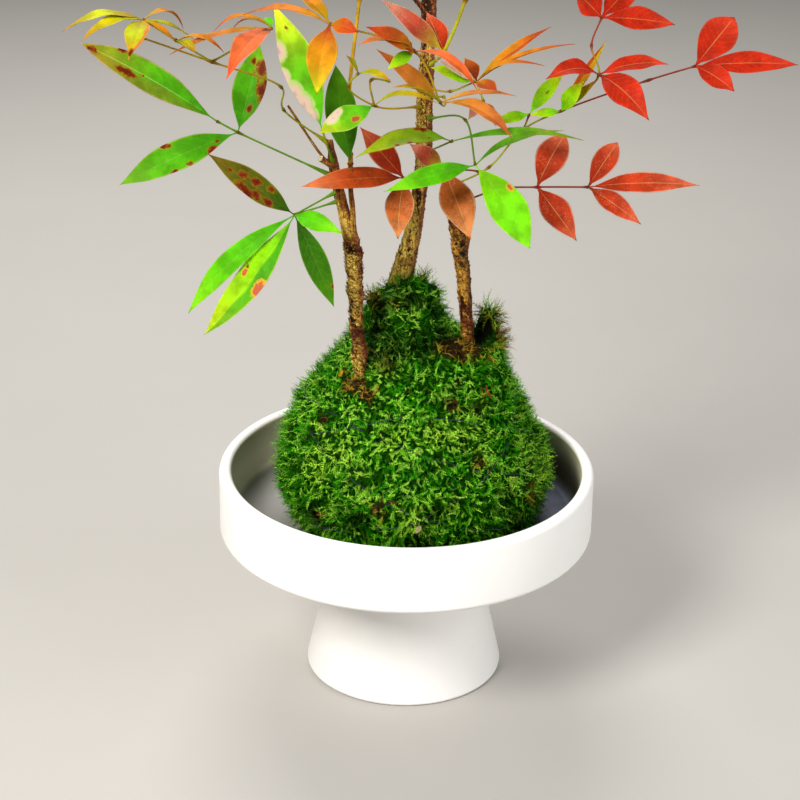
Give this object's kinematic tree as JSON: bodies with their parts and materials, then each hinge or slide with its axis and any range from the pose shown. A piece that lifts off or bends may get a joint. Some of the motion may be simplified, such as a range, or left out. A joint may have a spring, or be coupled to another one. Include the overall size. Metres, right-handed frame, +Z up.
{
  "type": "kokedama moss ball plant",
  "caption": "Kokedama: slender bamboo-like canes with green to red compound leaves in a thread-bound moss ball, standing in a white footed ceramic dish.",
  "frame": {"origin": "centre of the dish's foot, on the surface it stands on, which is also the centre of the whole plant seen from above", "axes": "+Z up, +Y away from the viewer of the picture, +X to the viewer's right"},
  "size_m": [0.3164, 0.2007, 0.3804],
  "materials": {
    "dish": "satin white outside, dark glossy glaze inside",
    "soil": "moist dark soil, matte",
    "moss": "live feathery moss, matte",
    "thread": "dark blue thread, matte",
    "bark": "flaky bark, matte",
    "leaf_green": "leaf, satin, lets light through",
    "leaf_pale": "young leaf, satin, lets light through",
    "leaf_amber": "autumn leaf, satin, lets light through",
    "leaf_red": "autumn leaf, satin, lets light through"
  },
  "bodies": {
    "root": {"dish": "dish", "soil_ball": "soil", "moss_cover": "moss", "binding_thread": "thread", "left_cane": "bark", "centre_cane": "bark", "right_cane": "bark", "frond_left_upper": "leaf_green", "frond_left_lower": "leaf_green", "frond_left_pale": "leaf_pale", "frond_left_front": "leaf_amber", "frond_left_high": "leaf_amber", "frond_middle_twig": "leaf_pale", "frond_middle_red": "leaf_red", "frond_right_tip": "leaf_red", "frond_middle_green": "leaf_green", "frond_right_green": "leaf_green", "frond_front": "leaf_amber", "frond_right_orange": "leaf_amber", "frond_right_upper": "leaf_red", "frond_right_lower": "leaf_red", "frond_right_high": "leaf_red", "frond_crown_1": "leaf_green", "frond_crown_2": "leaf_red", "frond_crown_3": "leaf_amber", "frond_crown_4": "leaf_green", "frond_crown_5": "leaf_red", "frond_crown_6": "leaf_pale"}
  },
  "joints": []
}
